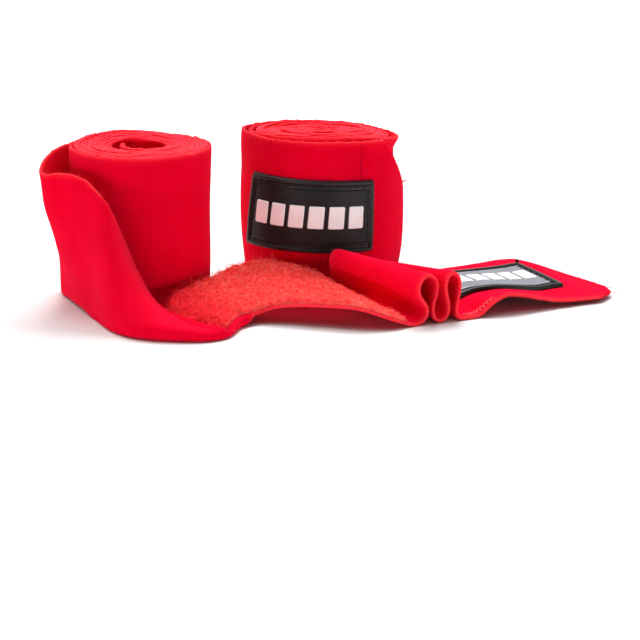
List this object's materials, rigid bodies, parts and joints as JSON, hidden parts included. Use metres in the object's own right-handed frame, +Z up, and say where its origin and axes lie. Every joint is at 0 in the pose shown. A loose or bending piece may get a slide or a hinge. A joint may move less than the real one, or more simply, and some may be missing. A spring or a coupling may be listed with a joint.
{
  "type": "hand wrap",
  "caption": "Rolled elastic boxing hand wraps side by side, one closed and one with its hook-and-loop end pulled out, each with a moulded label.",
  "frame": {"origin": "middle of the bounding box, on the ground plane the wraps stand on", "axes": "+X runs along the pair from the open roll to the cut end of its band, +Y points from the pulled-out band to the closed roll, +Z is up along both rolls"},
  "size_m": [0.1868, 0.1215, 0.05],
  "materials": {
    "red_elastic": "woven elastic, matt, ribbed across",
    "loop_pile": "brushed loop pile",
    "hook_tape": "moulded hook tape",
    "label_rubber": "soft moulded rubber, satin",
    "label_panel": "fine-grained moulded rubber",
    "label_white": "white moulded rubber, satin",
    "sewing_thread": "twisted polyester thread",
    "thumb_tape": "woven tape, matt"
  },
  "bodies": {
    "wraps": {"open_band_roll": "red_elastic", "open_band_tail": "red_elastic", "open_band_run": "red_elastic", "open_band_pleats": "red_elastic", "open_loop_patch": "loop_pile", "open_thumb_loop": "thumb_tape", "closed_band_roll": "red_elastic", "closed_closing_turn": "red_elastic", "closed_loop_patch": "loop_pile", "closed_hook_patch": "hook_tape", "closed_label_base": "label_rubber", "closed_label_panel": "label_panel", "closed_label_blocks": "label_white", "closed_label_stitching": "sewing_thread", "closed_thumb_loop": "thumb_tape"},
    "end_tab": {"open_end_tab": "red_elastic", "open_hook_patch": "hook_tape", "open_label_base": "label_rubber", "open_label_panel": "label_panel", "open_label_blocks": "label_white", "open_label_stitching": "sewing_thread"},
    "closure_tip": {"closed_closure_tip": "red_elastic"}
  },
  "joints": [
    {"name": "end_tab_lift", "type": "hinge", "parent": "wraps", "child": "end_tab", "pos_m": [0.04155, -0.03635, 0.0006], "axis": [0.4226, -0.9063, 0], "range_deg": [0, 60]},
    {"name": "closure_tip_peel", "type": "hinge", "parent": "wraps", "child": "closure_tip", "pos_m": [0.01666, 0.0167, 0], "axis": [0, 0, -1], "range_deg": [0, 50]}
  ]
}
